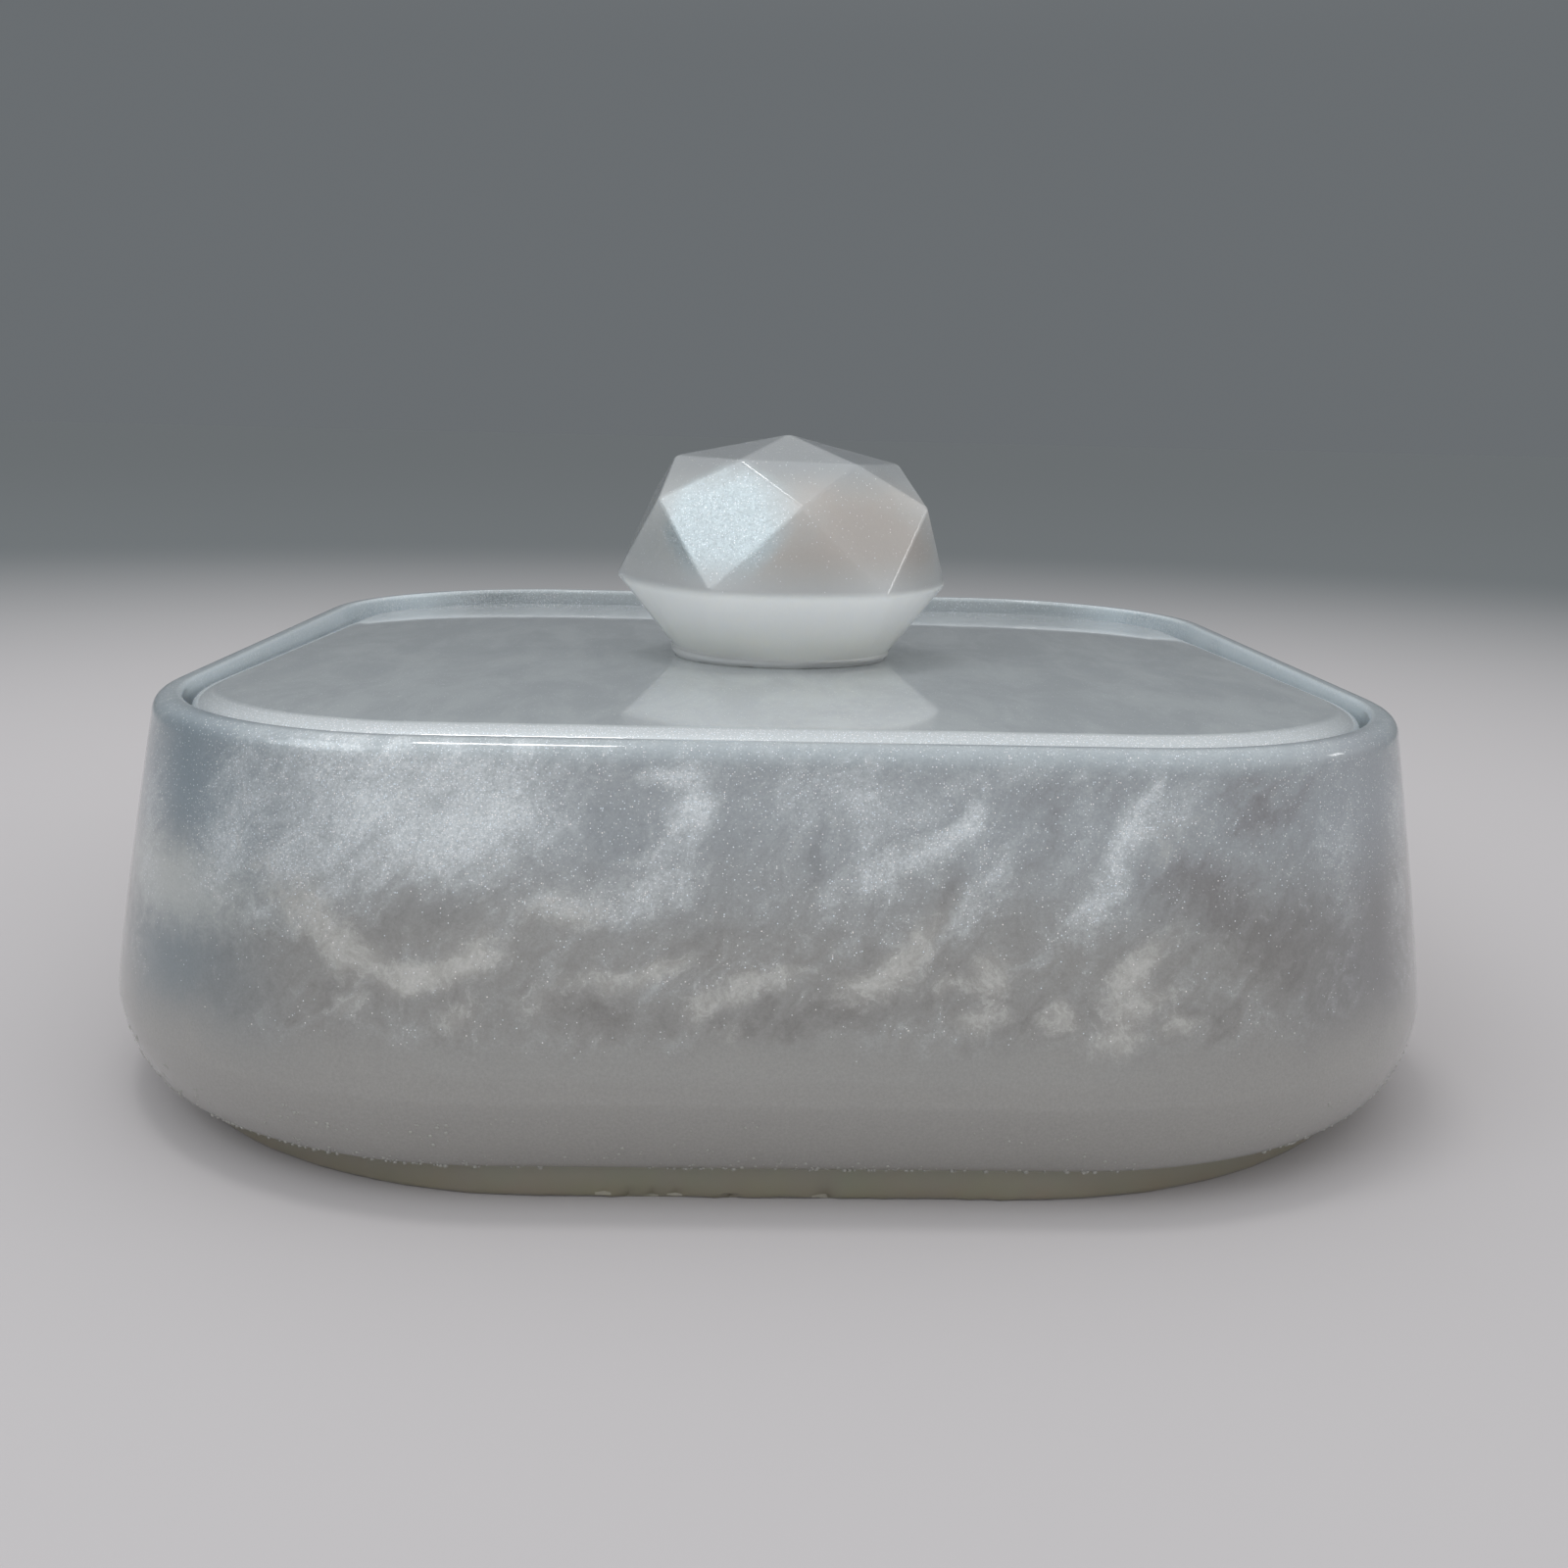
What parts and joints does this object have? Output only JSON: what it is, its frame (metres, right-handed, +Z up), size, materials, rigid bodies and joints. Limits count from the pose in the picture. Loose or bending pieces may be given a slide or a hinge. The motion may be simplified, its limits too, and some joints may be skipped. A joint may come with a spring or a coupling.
{
  "type": "trinket box",
  "caption": "Rounded square cast resin trinket box with an inset lift-off lid and a faceted knob.",
  "frame": {"origin": "centre of the foot's underside", "axes": "+Z up through the lid and knob, -Y towards the front, which is the side the lid is thickest at, +X to the right"},
  "size_m": [0.115, 0.115, 0.0551],
  "materials": {
    "clear_resin": "unpigmented cast epoxy resin, slightly yellow, glossy with a rough poured edge",
    "pearl_resin_bowl": "glossy cast epoxy resin with white and silver mica pearl swirls and fine glitter",
    "pearl_resin_lid": "glossy cast epoxy resin with faint mica pearl and fine glitter",
    "clear_glue": "cured clear resin adhesive",
    "pearl_resin_knob": "glossy cast epoxy resin with white pearl, flat moulded facets"
  },
  "bodies": {
    "box": {"box_body": "pearl_resin_bowl", "foot": "clear_resin"},
    "lid": {"lid_plate": "pearl_resin_lid", "knob_bond": "clear_glue", "knob": "pearl_resin_knob"}
  },
  "joints": [
    {"name": "lid_lift", "type": "slide", "parent": "box", "child": "lid", "axis": [0, 0, 1], "range_m": [0, 0.08]}
  ]
}
